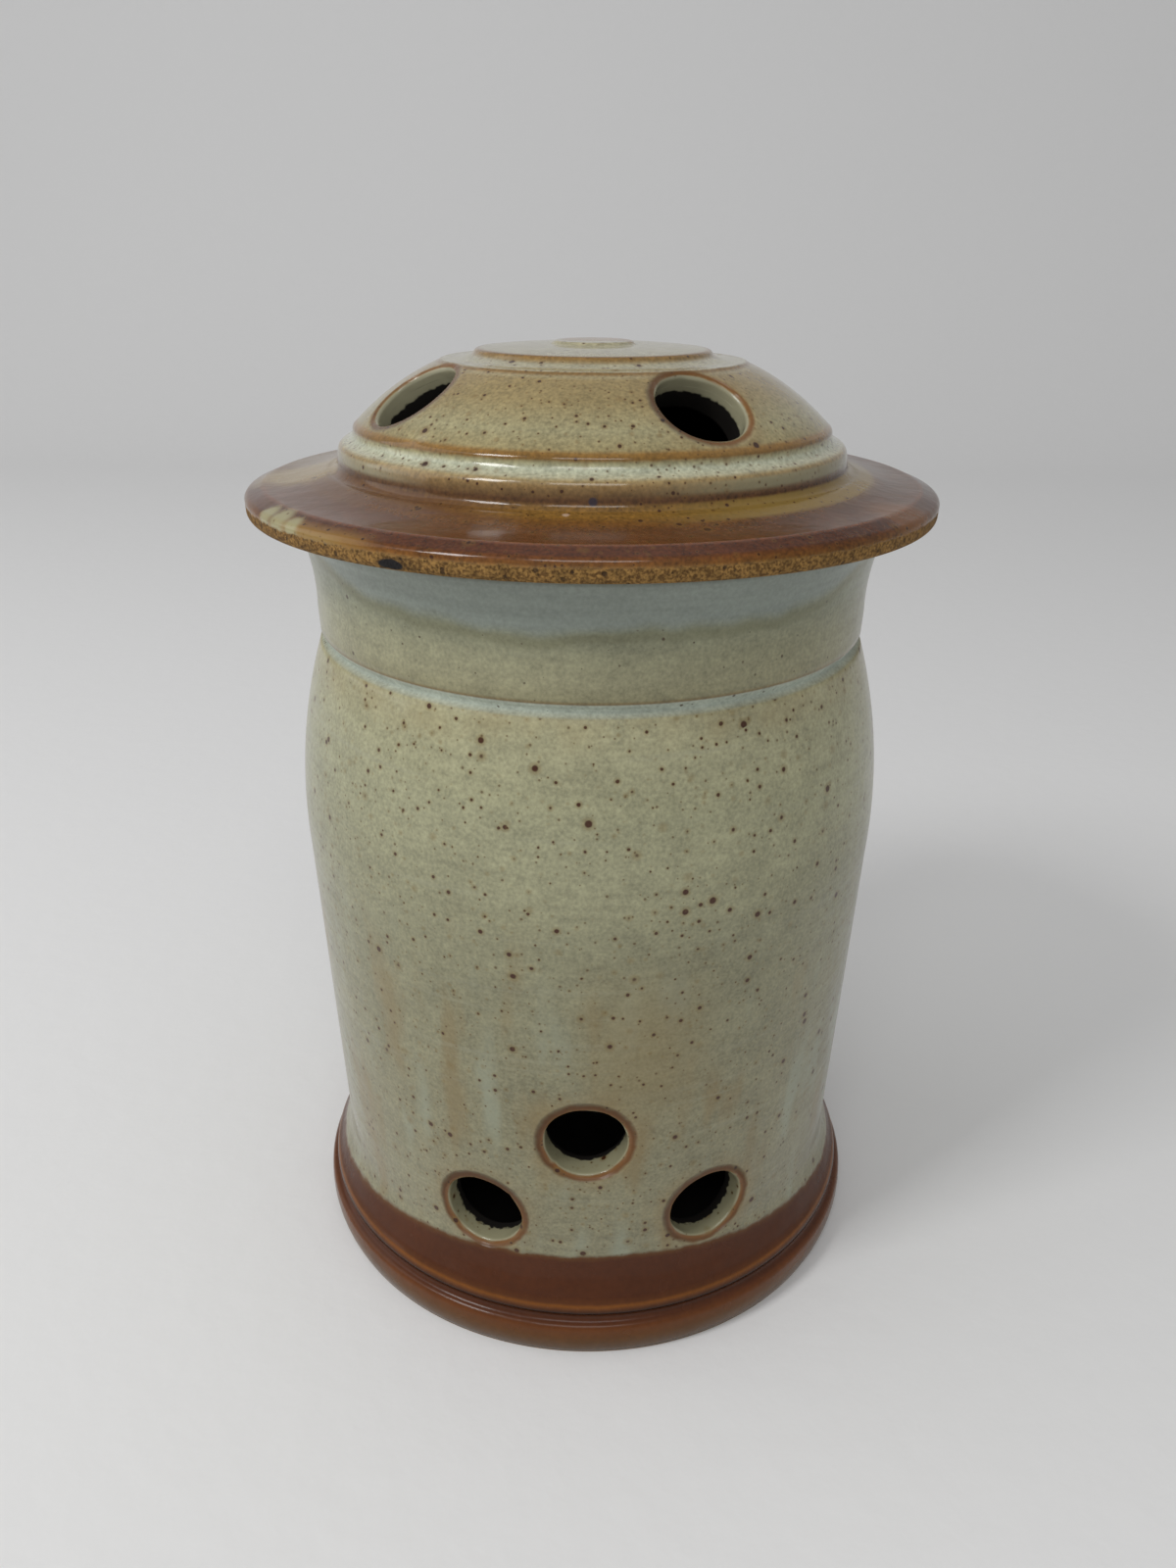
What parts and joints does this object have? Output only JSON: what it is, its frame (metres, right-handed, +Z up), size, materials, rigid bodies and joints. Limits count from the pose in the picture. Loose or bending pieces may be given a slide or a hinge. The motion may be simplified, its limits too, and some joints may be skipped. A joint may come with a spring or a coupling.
{
  "type": "garlic keeper",
  "caption": "Vented stoneware garlic keeper: a thrown pot on a stepped foot, open at the neck, closed by a wide-flanged domed lid with a collar; air holes low in the wall and in the dome.",
  "frame": {"origin": "centre of the foot on the surface that the pot stands on", "axes": "+Z up along the wheel's axis; the first group of vents in the pot faces -Y, +X to the right of someone who looks at it"},
  "size_m": [0.1446, 0.1446, 0.2112],
  "materials": {
    "pot_glaze": "satin celadon glaze with iron speckle, over an iron-brown glazed foot",
    "lid_glaze": "celadon glaze on the dome, glossy iron-brown glaze on the flange, bare clay at the flange's edge"
  },
  "bodies": {
    "pot": {"pot": "pot_glaze"},
    "lid": {"lid": "lid_glaze"}
  },
  "joints": [
    {"name": "lid_lift", "type": "slide", "parent": "pot", "child": "lid", "axis": [0, 0, 1], "range_m": [0, 0.12]}
  ]
}
